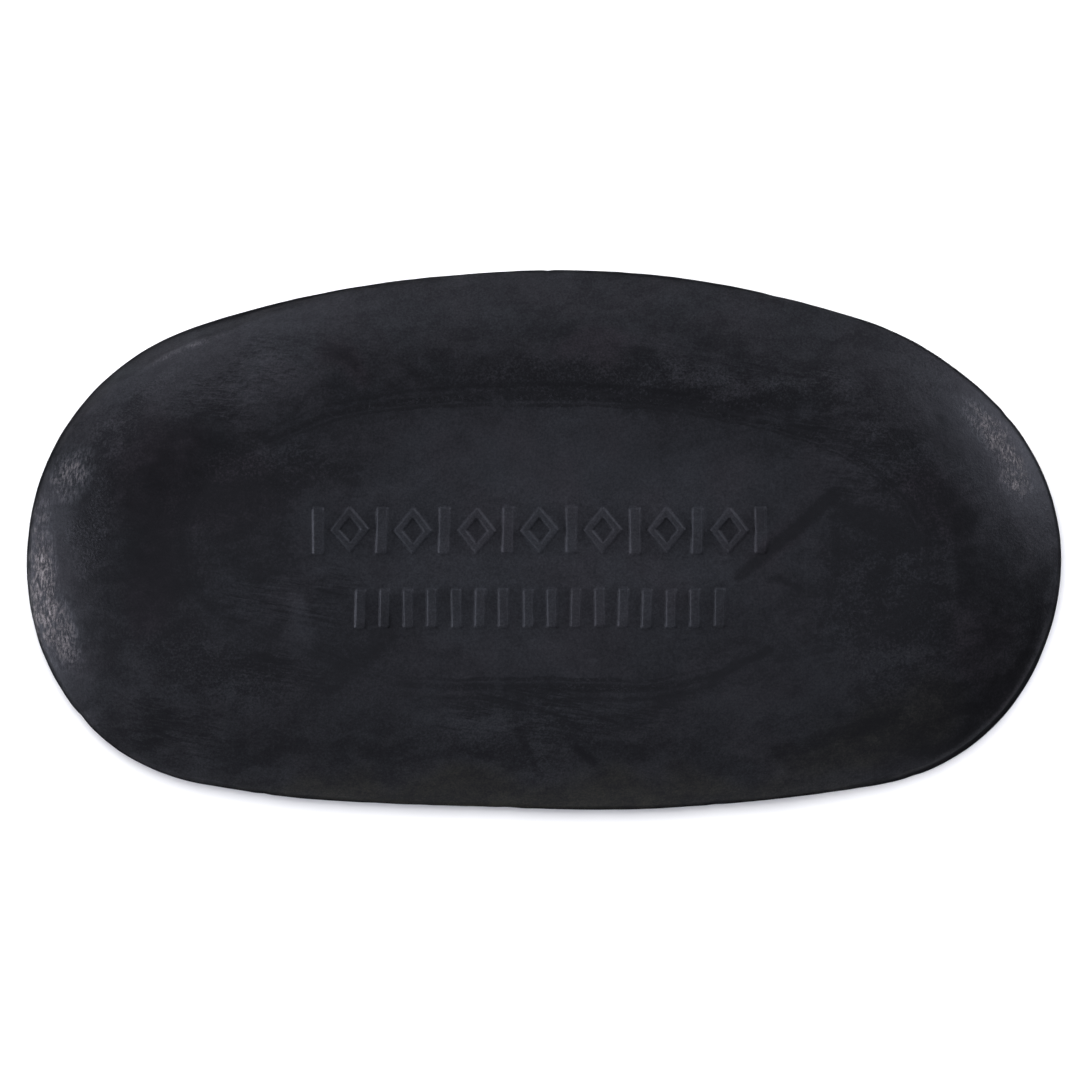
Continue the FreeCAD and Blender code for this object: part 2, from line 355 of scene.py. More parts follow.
def make_marks():
    """Every raised mark: its outer core polygon and corner radius, its inner ones, its relief."""
    marks = []
    for row in (UPPER_ROW, LOWER_ROW):
        for place in range(row["bars"]):
            point = complex(row["start"] + place * row["pitch"], row["y"])
            corners = loose(point, row["width"], row["height"])(box_corners)
            core = inner_polygon(corners, BAR_CORNER)
            marks.append((core, BAR_CORNER, None, MARK_RELIEF * chance.uniform(*RELIEF_SHARES)))
    for place in range(LOZENGES):
        point = complex(UPPER_ROW["start"] + (place + 0.5) * UPPER_ROW["pitch"], UPPER_ROW["y"])
        corners = loose(point, LOZENGE_WIDTH, UPPER_ROW["height"])(lozenge_corners)
        core = inner_polygon(corners, LOZENGE_CORNER)
        hole = inner_polygon(corners, LOZENGE_LINE + LOZENGE_CORNER)
        marks.append((core, LOZENGE_CORNER, hole, MARK_RELIEF * chance.uniform(*RELIEF_SHARES)))
    return marks


MARKS = make_marks()


def mark_distance(mark, points):
    """Signed distance of points from one mark's outline, positive outside the mark."""
    core, radius, hole, _ = mark
    distance = distance_outside(core, radius, points)
    if hole:
        distance = np.maximum(distance, -distance_outside(hole, radius, points))
    return distance


def loop_at(core, radius):
    """The rounded loop at a radius outside a core polygon, or inside it where that is negative."""
    if radius < SHARPEST:
        core, radius = inner_polygon(core, SHARPEST - radius), SHARPEST
    return rounded_loop(core, radius)


def mark_loops():
    """Closed loops that follow the foot, wall and shoulder of every mark."""
    loops = []
    for core, radius, hole, _ in MARKS:
        for offset in LOOP_OFFSETS:
            loops.append(loop_at(core, radius + offset))
            if hole:
                loops.append(loop_at(hole, radius - offset))
    return loops


# ---------------------------------------------------------------- surface

LAND_GRID = 0.38
BACK_GRID = 1.6
GRID_JITTER = 0.12
LOOP_CLEARANCE = 0.2
RING_CLEARANCE = 0.6
MERGE_DISTANCE = 1e-7
# Slow unevenness of the moulded rubber: (height, size, seed).
WAVES = ((0.07, 15, 1.3), (0.03, 5, 4.1), (0.008, 1.3, 8.7))
DENT_COUNT = 60
DENT_SPREAD = 0.95
DENT_RADII = (0.3, 0.9)
DENT_DEPTHS = (0.01, 0.05)
# Nicks in the rim: (bearing, half width, depth).
NICKS = (
    (88.8, 0.4, 0.07), (47, 0.7, 0.06), (147, 0.6, 0.08), (201, 0.8, 0.1), (222, 0.5, 0.08),
    (262, 0.9, 0.05), (303, 0.6, 0.05), (327.5, 0.7, 0.1), (15, 0.5, 0.07),
)
NICK_DROP = 0.5
# The trimmed edge's straying and rippling fade away between these insets.
TRIM_FADE = (2, 10)
RIPPLE = 0.035
RIPPLE_SIZE = 2.1
ARRIS_WIDTH = 0.6
# How pale the rim's arris is: partly wear, partly a painted highlight on the edge.
RIM_WEAR_AND_GLINT = 0.4
# Where each mark's pale edge lies: partly wear, partly a painted highlight.
MARK_EDGE = -0.08
MARK_EDGE_WIDTH = 0.09


def uneven(point, size, seed):
    """Smooth noise about 0 at a point, with bumps about size across."""
    return noise.noise(Vector((point.real / size, point.imag / size, seed)))


def waves(point):
    """Height of the surface's slow waves at a point."""
    return sum(height * uneven(point, size, seed) for height, size, seed in WAVES)


def make_dents():
    """Small dents scattered over the top: place, radius and depth."""
    dents = []
    for _ in range(DENT_COUNT):
        bearing, share = chance.uniform(0, math.tau), math.sqrt(chance.uniform(0, 1))
        oval_edge = complex(HALF_LENGTH * math.cos(bearing), HALF_WIDTH * math.sin(bearing))
        place = oval_edge * DENT_SPREAD * share
        dents.append((place, chance.uniform(*DENT_RADII), chance.uniform(*DENT_DEPTHS)))
    return dents


DENTS = make_dents()


def relief(points):
    """Height to add to top points: slow waves less the dents."""
    lift = np.array([waves(point) for point in points])
    for place, radius, depth in DENTS:
        lift -= depth * np.exp(-(abs(points - place) / radius) ** 2)
    return lift


def grid_points(step, reach):
    """A staggered grid of points inside a star-shaped limit, given as radius against bearing."""
    rows = int(HALF_WIDTH / (step * math.sqrt(0.75))) + 1
    columns = int(HALF_LENGTH / step) + 1
    points = []
    for row in range(-rows, rows + 1):
        for column in range(-columns, columns + 1):
            aside, along = [chance.uniform(-GRID_JITTER, GRID_JITTER) * step for _ in "xy"]
            place = complex((column + 0.5 * (row % 2)) * step, row * step * math.sqrt(0.75))
            points.append(place + complex(aside, along))
    points = np.array(points)
    return points[abs(points) < reach(points)]


def reach_of(ring):
    """A function that gives the distance from the middle to a closed ring of points, at points."""
    order = np.argsort(np.angle(ring))
    bearings, radii = np.angle(ring)[order], abs(ring)[order]
    return lambda points: np.interp(np.angle(points), bearings, radii, period=math.tau)


def fill(boundary, loops, grid_step, clearance):
    """Triangles that fill a closed ring of points, through the given loops and a grid of points."""
    reach = reach_of(boundary)
    grid = grid_points(grid_step, lambda points: reach(points) - clearance)
    for mark in MARKS if loops else ():
        distance = mark_distance(mark, grid)
        outside = distance > LOOP_OFFSETS[0] + LOOP_CLEARANCE
        grid = grid[outside | (distance < LOOP_OFFSETS[-1] - LOOP_CLEARANCE / 2)]
    points = list(boundary)
    edges = [(place, (place + 1) % len(boundary)) for place in range(len(boundary))]
    for loop in loops:
        first = len(points)
        edges += [(first + place, first + (place + 1) % len(loop)) for place in range(len(loop))]
        points += loop
    points += list(grid)
    inside_constraints = 1
    spots = [Vector((point.real, point.imag)) for point in points]
    made = delaunay_2d_cdt(spots, edges, [], inside_constraints, MERGE_DISTANCE)
    return made[0], made[2], made[3]


def nicks():
    """How deep the rim is nicked at every station."""
    edge = CENTRE + ARC_RADIUS * OUTWARD
    cut = np.zeros(STATIONS)
    for bearing, half_width, depth in NICKS:
        middle = edge[np.argmin(abs((BEARING - bearing + 180) % 360 - 180))]
        cut += depth * np.exp(-(abs(edge - middle) / half_width) ** 2)
    return cut


def ring_points(rings):
    """The vertices of all the rings, and how far each one lies on the rim's arris."""
    vertices, wear_and_glint = [], []
    cut = nicks()
    for number, (inset, height) in enumerate(rings):
        fade = 1 - smooth(inset, *TRIM_FADE)
        at_rim = np.exp(-((inset - draft) / ARRIS_WIDTH) ** 2)
        points = CENTRE + (ARC_RADIUS - inset + trim * fade - cut * at_rim) * OUTWARD
        rise = smooth(height, 1.0, 3.0)
        lift = relief(points) * rise - NICK_DROP * cut * at_rim * rise
        if number >= BACK_STEPS:
            ripple = [RIPPLE * uneven(point, RIPPLE_SIZE, seed=height[0]) for point in points]
            points = points + OUTWARD * np.array(ripple) * fade
        vertices += [(p.real, p.imag, z) for p, z in zip(points, height + lift)]
        # Pale arris: partly wear, partly a painted highlight along the rim's edge.
        wear_and_glint += list(RIM_WEAR_AND_GLINT * at_rim * smooth(height, 1.2, 1.9))
    return vertices, wear_and_glint


def ring_faces(count):
    """Quads between neighbouring rings."""
    faces = []
    for ring in range(count - 1):
        low, high = ring * STATIONS, (ring + 1) * STATIONS
        for place in range(STATIONS):
            following = (place + 1) % STATIONS
            faces.append((low + place, low + following, high + following, high + place))
    return faces


def land_level(points):
    """Height of points on the land, with the raised marks, and how pale their edges are: partly wear,
    partly painted highlight.
    """
    heights = LAND_HEIGHT + relief(points)
    wear_and_glint = np.zeros(len(points))
    for mark in MARKS:
        distance = mark_distance(mark, points)
        heights += mark[3] * (1 - smooth(distance, MARK_SHOULDER, MARK_FOOT))
        # Pale mark edge: partly wear, partly a painted highlight where the edge catches the light.
        edge = np.exp(-(((distance - MARK_EDGE) / MARK_EDGE_WIDTH) ** 2))
        wear_and_glint = np.maximum(wear_and_glint, edge)
    return heights, wear_and_glint


def back_level(points):
    """Height of points on the flat back, and how pale their edges are: not at all there."""
    return np.zeros(len(points)), np.zeros(len(points))


def build_mesh():
    """Vertices, faces and pale edges of the whole rib, in millimetres: the edges are partly worn,
    partly a painted highlight.
    """
    rings = section_rings()
    vertices, wear_and_glint = ring_points(rings)
    faces = ring_faces(len(rings))

    def close(ring, loops, step, clearance, level, flip):
        start = ring * STATIONS
        boundary = np.array([complex(x, y) for x, y, _ in vertices[start:start + STATIONS]])
        made, triangles, sources = fill(boundary, loops, step, clearance)
        index, fresh = [], []
        for point, source in zip(made, sources):
            ring_places = [place for place in source if place < STATIONS]
            if ring_places:
                index.append(start + ring_places[0])
            else:
                index.append(len(vertices) + len(fresh))
                fresh.append(complex(point.x, point.y))
        heights, edges = level(np.array(fresh))
        vertices.extend((p.real, p.imag, z) for p, z in zip(fresh, heights))
        wear_and_glint.extend(edges)
        for triangle in triangles:
            corners = [index[corner] for corner in triangle]
            faces.append(tuple(corners[::-1] if flip else corners))

    close(len(rings) - 1, mark_loops(), LAND_GRID, RING_CLEARANCE / 2, land_level, flip=False)
    close(0, [], BACK_GRID, RING_CLEARANCE, back_level, flip=True)
    return vertices, faces, wear_and_glint


# ---------------------------------------------------------------- condition

# How the used rubber differs from place to place, together with painted highlights, sheen and shade
# where marked. Patches are ovals, each (x, y, half length, half width, turn in degrees, strength).
# Strokes are narrow marks, each (start x, start y, end x, end y, half width, strength).
TONE_PATCHES = (
    (-27.5, 17, 8, 5, 20, 0.9),
    (-38, 17, 8, 4, 45, 0.5),
    (0, 25.2, 40, 3.6, 0, 0.3),
    (38, 16, 8, 6, -40, 0.3),
    (-47.6, -8, 1.8, 6.5, 4, 0.5),
    (-42, -15, 5, 4, -45, 0.5),
    (-25.3, -9.5, 2.6, 3.6, 0, 1.6),
    (-13, -17.2, 10, 2.4, 0, 0.5),
    (-5.2, -19, 4.4, 3.4, 0, 0.9),
    (21, -18.5, 8, 4.5, 10, 0.7),
    (-30, -17, 8, 3, -15, 0.4),
    (28.7, -1.5, 2.6, 5, 0, 0.5),
    (-37, 8.5, 10, 6.5, 25, -0.7),
    (-41, -1.5, 5.0, 12, 0, -0.8),
    (-34, 2, 12, 10, 0, -0.6),
    (-27, 6.8, 10, 2.6, 4, -0.6),
    (-31, 5.5, 7.5, 3.4, 8, -0.45),
    (-38.5, -9.5, 4, 5, -30, -0.6),
    (-19.3, 6.2, 2.4, 1.3, -10, -0.9),
    (-21, 18.2, 3.6, 1.3, -35, -0.8),
    (-27.5, -13.6, 3.8, 1.2, -6, -1.3),
    (-20.5, -4.4, 4.8, 1.2, 5, -0.5),
    (-39.5, -19.2, 4.2, 3.0, -38, -0.8),
    (-22, -21.8, 15, 1.5, -5, -0.6),
    (13, 14.9, 22, 1.8, -2, -0.75),
    (7, 20, 15, 2.2, -2, 0.35),
    (24.7, -4.6, 1.9, 0.6, -12, -1.0),
    (37, -2, 9, 12, 0, -0.9),
    (48, -9, 6.5, 12, 5, -0.6),
    (43, -20, 12, 7, 40, -0.7),
    (10.5, -22, 5, 1.5, 5, -0.9),
)
TONE_STROKES = (
    (20.1, -3.7, 29.9, 4.6, 0.9, -2.5),
    (29.9, 4.6, 31.8, 2.6, 0.8, -0.7),
    (31.4, 2.6, 38, 0.2, 1.8, -0.9),
    (36, 10.3, 43.2, 1.8, 2.3, -0.9),
    (43.2, 1.8, 43.8, -6, 1.8, -0.7),
    (29.9, 3.8, 30.2, -1.6, 0.5, -0.8),
    (30.2, -3, 28.2, -10.5, 0.5, -0.7),
    (-15.5, -9.3, -22.1, -14.8, 1.5, -1.3),
    (-6.4, -15.9, -2.6, -17.2, 0.5, -1.7),
    (-2.4, -19.6, -1.0, -23.4, 0.5, -1.5),
    (1.4, -17.9, 3.6, -19.5, 0.45, -1.7),
    (3.2, -21.6, 5.4, -23.2, 0.5, -1.5),
    (-9.5, -21.4, -5.5, -22.6, 0.6, -1.2),
    (23.1, -11.2, 17.4, -14.3, 0.55, -1.9),
    (17.2, -14.9, 12, -16.9, 0.9, -0.8),
    (22.8, -4.3, 24.3, -4.0, 0.4, -1.6),
    (24.2, -4.3, 26.3, -5.0, 0.45, -1.6),
    (24.2, -21.8, 36, -18.2, 1.1, -1.2),
    (-38.6, 18.6, -43.2, 13.2, 0.9, -0.6),
    (-43.2, 13.2, -46.4, 8.4, 1.0, -0.8),
    (-46.4, 8.4, -48, 0, 1.0, -0.8),
    (41.7, -3, 43, -10.4, 0.4, 0.6),
)
# How coarse the grain is, above or below the common grain.
GRIT_PATCHES = (
    (13, 15.9, 28, 2.9, -2, 1.0),
    (36, -7, 9, 14, 0, 0.8),
    (-27, 7.2, 11, 3.4, 6, 0.8),
    (-33, -14, 10, 5.5, -20, 0.8),
    (-42.8, 13, 8, 2.0, 53, 0.9),
    (-46.4, 3, 2.2, 10, -8, 0.9),
    (36, 8, 9, 5, -40, 0.7),
    (-3, -20, 14, 5, 0, 0.5),
    (-37, 9, 8, 4.6, 25, -0.5),
    (-41, -2, 3, 9, 0, -0.5),
    (2, 9, 22, 4.5, 0, -0.25),
    (43.5, 11, 4, 5, 50, -0.5),
)
# Where the top is scratched.
SCRATCH_PATCHES = (
    (-27, -7.2, 9, 3.2, -6, 1.0),
    (-28, -13.8, 7, 2.8, -8, 1.0),
    (-31, 17, 11, 5, 25, 1.0),
    (-21, -4, 6, 2.4, 4, 0.8),
    (0, -18, 17, 4.5, 0, 0.9),
    (31, 9, 9, 5, -32, 0.8),
    (-38, -20, 8, 4, -35, 0.7),
    (20, 18, 18, 3, -8, 0.5),
)
# Where the rubber is yellowish, above 0, or rosy, below 0.
HUE_PATCHES = (
    (0, -26.2, 42, 3.0, 0, 1.0),
    (34, -20, 13, 4.5, 22, 0.7),
    (-21, 18.2, 4, 2.4, -35, -1.0),
    (-40, 6, 8, 9, 15, -0.9),
    (-30, 5, 8, 4, 8, -0.8),
    (24.5, 0, 6, 2.2, 40, -0.6),
    (-40.5, -5, 3, 7, 0, -0.9),
    (5, 20, 7, 3, 0, -0.7),
    (40, 4, 5, 7, 35, -0.8),
    (45, -12, 5, 8, 20, -0.6),
)
# Pale scuffs along the edge: (bearing, half length, inset, half width, strength). Bearings and
# half lengths are degrees. The last one, on the upper-left ridge, is partly a painted highlight.
SCUFFS_AND_RIDGE_HIGHLIGHT = (
    (186.5, 11, 1.6, 2.3, 1.3),
    (190.5, 7.0, 2.4, 2.8, 0.9),
    (172.2, 5.0, 3.0, 3.2, 0.62),
    (178, 5.0, 1.1, 1.7, 0.5),
    (12.5, 8.6, 2.5, 2.5, 0.8),
    (7.2, 3.2, 3.1, 2.6, 0.85),
    # Partly a scuff, partly a painted highlight along the upper-left ridge.
    (152, 7.0, 2.1, 0.6, 0.35),
)
# Painted highlights and painted shade in bands along the edge, given like the scuffs. The first three
# paint highlights on the upper-left wall and ridge and on the lower-right arris, the fourth darkens a
# band inside the lower-right highlight, and the last paints shade on the left flank that narrows the
# left sheen.
PAINTED_HIGHLIGHT_AND_SHADE_BANDS = (
    (153, 17, 0.7, 1.3, 1.5),
    (152.5, 6.5, 1.9, 0.42, 2.2),
    (338, 20, 0.6, 0.32, 2.2),
    (338, 22, 1.7, 1.2, -0.5),
    (187, 22, 6.8, 3.4, -0.9),
)
# The land is paler all over: partly grey dust bloom, partly a painted sheen of the light from above on
# the flat top.
LAND_BLOOM_AND_SHEEN = (1.5, 0.5, 30, 17, 0, 2.1)
MARK_TONE = 0.7
# Painted shade: a thin dark line round the outermost rim, fading out between these insets.
RIM_PAINTED_SHADE = -1.6
RIM_PAINTED_SHADE_INSETS = (0.45, 0.1)
BASE_GRIT = 0.4
BACK_SCUFF = 0.3
# The share of a shape's half width over which it has its full strength.
PATCH_CORE = 0.35
STROKE_CORE = 0.4
BAND_CORE = 0.2
BORDER_SIZE = 4.5
PATCH_WANDER = 2.2
STROKE_WANDER = 0.35


def oval(points, x, y, reach_x, reach_y, turn, strength):
    """A soft oval patch's strength at points."""
    across = (points - complex(x, y)) * cmath.exp(-1j * math.radians(turn))
    away = np.hypot(across.real / reach_x, across.imag / reach_y)
    return strength * smooth(away, 1.0, PATCH_CORE)


def stroke(points, x0, y0, x1, y1, half_width, strength):
    """A soft-edged straight stroke's strength at points."""
    start, side = complex(x0, y0), complex(x1 - x0, y1 - y0)
    share = np.clip(((points - start) * np.conj(side)).real / abs(side) ** 2, 0, 1)
    away = abs(points - start - share * side)
    return strength * smooth(away, half_width, STROKE_CORE * half_width)


def wandering(points, reach):
    """The points, each shifted a little by noise, to give patches and strokes uneven borders."""
    aside = np.array([uneven(point, BORDER_SIZE, seed=21.5) for point in points])
    along = np.array([uneven(point, BORDER_SIZE, seed=33.5) for point in points])
    return points + reach * (aside + 1j * along)


def band(bearing, inset, middle, half_length, depth, half_width, strength):
    """The strength, at bearings and insets, of a soft band that runs along the edge."""
    along = ((bearing - middle + 180) % 360 - 180) / half_length
    return strength * smooth(np.hypot(along, (inset - depth) / half_width), 1, BAND_CORE)


def condition(vertices):
    """Named values at every vertex that say how the rubber looks there."""
    flat = np.array([complex(x, y) for x, y, _ in vertices])
    edge = reach_of(CENTRE + ARC_RADIUS * OUTWARD)
    crease = CENTRE + (ARC_RADIUS - crease_inset) * OUTWARD
    from_crease = reach_of(crease)(flat) - abs(flat)
    order = np.argsort(BEARING)
    bearing = np.degrees(np.angle(flat)) % 360
    depths = crease_depth[order] / crease_depth.max()
    creased = np.interp(bearing, BEARING[order], depths, period=360)
    loose_points = wandering(flat, PATCH_WANDER)
    firm_points = wandering(flat, STROKE_WANDER)
    # Paler land: partly grey bloom, partly painted sheen.
    tone = oval(loose_points, *LAND_BLOOM_AND_SHEEN) * smooth(from_crease, -0.1, 0.7)
    tone += sum(oval(loose_points, *patch) for patch in TONE_PATCHES)
    tone += sum(stroke(firm_points, *line) for line in TONE_STROKES)
    top = smooth([z for _, _, z in vertices], 0.2, 1.2)
    on_land = np.flatnonzero((from_crease > 1) & (top > 0))
    for mark in MARKS:
        distance = mark_distance(mark, flat[on_land])
        tone[on_land] += MARK_TONE * smooth(distance, MARK_FOOT, MARK_SHOULDER)
    inset = edge(flat) - abs(flat)
    # Painted shade darkening the outermost rim.
    tone += RIM_PAINTED_SHADE * smooth(inset, *RIM_PAINTED_SHADE_INSETS)
    # Painted highlights and painted shade in bands along the edge.
    tone += sum(band(bearing, inset, *shape) for shape in PAINTED_HIGHLIGHT_AND_SHADE_BANDS)
    scuff_and_highlight = np.max([band(bearing, inset, *shape) for shape in SCUFFS_AND_RIDGE_HIGHLIGHT], axis=0)
    return {
        "tone": tone,
        "grit": BASE_GRIT + sum(oval(loose_points, *patch) for patch in GRIT_PATCHES),
        "scratched": sum(oval(loose_points, *patch) for patch in SCRATCH_PATCHES),
        "hue": sum(oval(loose_points, *patch) for patch in HUE_PATCHES),
        "scuff_and_highlight": scuff_and_highlight * (BACK_SCUFF + (1 - BACK_SCUFF) * top),
        "from_crease": from_crease,
        "creased": creased * top,
    }


def new_object(name, vertices, faces):
    """A mesh object, linked into the scene."""
    mesh = bpy.data.meshes.new(name)
    mesh.from_pydata(vertices, [], faces)
    made = bpy.data.objects.new(name, mesh)
    bpy.context.collection.objects.link(made)
    return made


def make_rib():
    """The rib as one closed mesh, placed on the CAD solid."""
    vertices, faces, wear_and_glint = build_mesh()
    low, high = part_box(NODE)
    span = (high.x - low.x) / MM
    scale = MM * span / (2 * HALF_LENGTH)
    middle = (low + high) / 2
    placed = [(middle.x + x * scale, middle.y + y * scale, low.z + z * MM) for x, y, z in vertices]
    rib = new_object("rib_surface", placed, faces)
    for name, values in {"wear_and_glint": wear_and_glint, **condition(vertices)}.items():
        layer = rib.data.attributes.new(name, "FLOAT", "POINT")
        layer.data.foreach_set("value", values)
    rib.data.shade_smooth()
    rib.data.validate()
    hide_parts(NODE)
    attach(rib, BODY)
    return rib


# ---------------------------------------------------------------- material

# Brightness of the bare rubber and of each step of paler tone, from bloom and from painted sheen and
# highlights, and how fast darker tone, from wiped rubber and from painted shade, darkens.
SHADE = 0.0205
SHADE_STEP = 0.012
DARK_FALL = 0.85
SCUFF_AND_HIGHLIGHT_SHADE = 0.46
WEAR_AND_GLINT_SHADE = 0.03
# How strongly each kind of marking, and the painted shade of the crease, shifts the tone.
TONE_CLOUD = 0.9
TONE_MOTTLE = 1.75
TONE_WIPED = 0.45
TONE_WISPS = 2.4
TONE_SPECKLE = 3.2
TONE_GRAIN = 1.7
CREASE_PAINTED_SHADE = -3.6
TONE_SCRATCH = 1.3
# Red, green and blue factors.
WARM_BLACK = (0.98, 0.95, 0.98, 1)
COOL_BLACK = (0.93, 0.98, 1.01, 1)
YELLOWISH = (1.07, 1.01, 0.6, 1)
ROSY = (1.14, 0.9, 1.0, 1)
SCUFF_AND_HIGHLIGHT_TINT = (1.07, 0.97, 0.9, 1)
ROUGHNESS = 0.46
GLANCING_ROUGHNESS = 0.4
GLOSS = 0.5
GLANCING_GLOSS = 0.1
# How glancing the view is where the gloss starts to fade and where it is gone.
GLANCING = (0.4, 0.95)
# Heights of the fine relief, in millimetres.
GRAIN_HEIGHT = 0.01
SPECKLE_HEIGHT = 0.008
GRIT_HEIGHT = 0.04
MOTTLE_HEIGHT = 0.05
SCRATCH_HEIGHT = -0.012
LINE_HEIGHT = -0.03
SCUFF_HEIGHT = 0.03


def add(tree, kind, inputs=None, output=0, **settings):
    """Add a node, set or link its inputs, and return one of its outputs."""
    node = tree.nodes.new(kind)
    for name, value in settings.items():
        setattr(node, name, value)
    for name, value in (inputs or {}).items():
        if isinstance(value, bpy.types.NodeSocket):
            tree.links.new(value, node.inputs[name])
        else:
            node.inputs[name].default_value = value
    return node.outputs[output] if node.outputs else None


class Rubber:
    """The black rubber's node tree. Places and sizes are millimetres seen from above."""

    def __init__(self, name):
        self.material = bpy.data.materials.new(name)
        self.material.use_nodes = True
        self.tree = self.material.node_tree
        self.tree.nodes.clear()
        metres = add(self.tree, "ShaderNodeTexCoord", output="Object")
        scale = {0: metres, 1: (1 / MM,) * 3}
        self.place = add(self.tree, "ShaderNodeVectorMath", scale, operation="MULTIPLY")

    def maths(self, operation, *values, clamp=False):
        inputs = dict(enumerate(values))
        return add(self.tree, "ShaderNodeMath", inputs, operation=operation, use_clamp=clamp)

    def ranged(self, value, start, end, low=0.0, high=1.0):
        """low where value is start, high where it is end, softly in between."""
        inputs = {"Value": value, "From Min": start, "From Max": end, "To Min": low, "To Max": high}
        return add(self.tree, "ShaderNodeMapRange", inputs, interpolation_type="SMOOTHSTEP")

    def at_vertex(self, name):
        """A value stored at the mesh's vertices."""
        return add(self.tree, "ShaderNodeAttribute", output="Fac", attribute_name=name)

    def noise(self, size, detail=4.0, roughness=0.6, turn=0.0, stretch=1.0, seed=0.0):
        """Noise with blobs about size across, stretched along a direction in degrees."""
        inputs = {
            "Vector": self.place,
            "Location": (seed, 0.7 * seed, 0.3 * seed),
            "Rotation": (0, 0, math.radians(turn)),
            "Scale": (size * stretch, size, size),
        }
        vector = add(self.tree, "ShaderNodeMapping", inputs, vector_type="TEXTURE")
        inputs = {"Vector": vector, "Scale": 1.0, "Detail": detail, "Roughness": roughness}
        return add(self.tree, "ShaderNodeTexNoise", inputs)

    def centred(self, value, reach):
        """A 0 to 1 noise moved to run about 0, times reach."""
        return self.maths("MULTIPLY_ADD", value, 2 * reach, -reach)

    def mixed(self, share, first, second):
        """A colour between two others."""
        inputs = {0: share, 6: first, 7: second}
        return add(self.tree, "ShaderNodeMix", inputs, output=2, data_type="RGBA")

    def line(self, distance, place, half_width, wander):
        """1 on a thin wandering line where a distance equals place."""
        drift = self.centred(wander, 0.45)
        off = self.maths("ADD", self.maths("SUBTRACT", distance, place), drift)
        return self.ranged(self.maths("ABSOLUTE", off), half_width, 0.3 * half_width)


